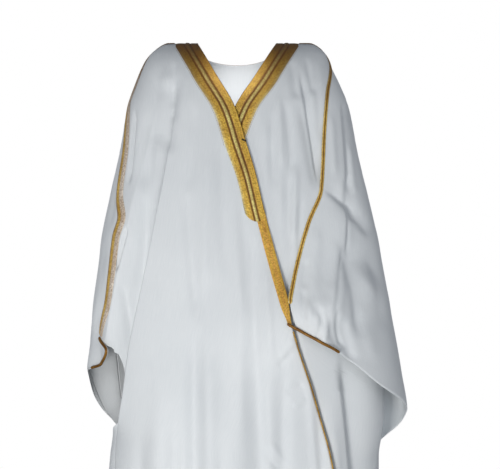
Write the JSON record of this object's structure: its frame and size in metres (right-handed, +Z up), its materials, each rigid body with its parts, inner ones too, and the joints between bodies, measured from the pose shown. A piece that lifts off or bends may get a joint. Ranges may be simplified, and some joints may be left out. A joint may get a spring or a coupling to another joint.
{
  "type": "bisht",
  "caption": "White wool bisht cloak in its worn form, one arm down and the other bent, with gold zari bands along the neck and front.",
  "frame": {"origin": "midway between the shoulders, at the height where they carry the cloth", "axes": "+Z up, the front of the garment faces -Y, +X towards the wearer's left"},
  "size_m": [0.717, 0.4281, 1.3732],
  "materials": {
    "cloth": "fine off-white wool weave with a soft sheen",
    "zari": "woven metallic gold thread with ribs and a raised cord",
    "zari_narrow": "woven orange-gold metallic thread",
    "seam_cord": "thin twisted gold and brown cord",
    "cuff_trim": "brown and gold cord trim"
  },
  "bodies": {
    "root": {"front_right": "cloth", "front_left": "cloth", "sleeve_right": "cloth", "sleeve_left": "cloth", "back": "cloth", "band_right": "zari", "band_left": "zari", "band_neck": "zari", "narrow_band": "zari_narrow", "edge_cord": "zari", "arm_cord_right": "seam_cord", "arm_cord_left": "seam_cord", "cuff_right": "cuff_trim", "cuff_left": "cuff_trim"}
  },
  "joints": []
}
